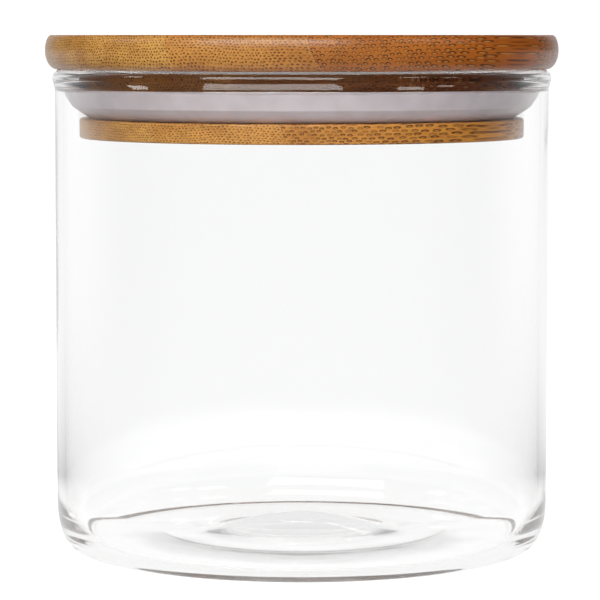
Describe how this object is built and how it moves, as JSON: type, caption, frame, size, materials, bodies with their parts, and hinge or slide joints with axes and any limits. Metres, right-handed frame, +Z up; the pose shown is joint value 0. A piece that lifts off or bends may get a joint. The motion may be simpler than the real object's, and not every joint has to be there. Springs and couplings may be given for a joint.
{
  "type": "lidded glass canister",
  "caption": "Clear glass storage jar with a straight wall, closed by a bamboo lid whose plug carries a flared silicone seal ring.",
  "frame": {"origin": "centre of the jar's foot, on the plane it stands on", "axes": "+Z up along the axis of the jar; round about Z, so +X and +Y are free"},
  "size_m": [0.1038, 0.1038, 0.1039],
  "materials": {
    "glass": "clear, polished",
    "silicone": "translucent, satin",
    "bamboo_cap": "lightly oiled bamboo",
    "bamboo_plug": "lightly oiled bamboo"
  },
  "bodies": {
    "jar": {"glass_jar": "glass"},
    "seal": {"seal_ring": "silicone"},
    "lid": {"lid_cap": "bamboo_cap", "lid_plug_upper": "bamboo_plug", "lid_plug_lower": "bamboo_plug"}
  },
  "joints": [
    {"name": "lid_lift", "type": "slide", "parent": "jar", "child": "seal", "axis": [0, 0, 1], "range_m": [0, 0.12]},
    {"name": "lid_turn", "type": "hinge", "parent": "seal", "child": "lid", "pos_m": [0, 0, 0.09], "axis": [0, 0, 1], "continuous": true}
  ]
}
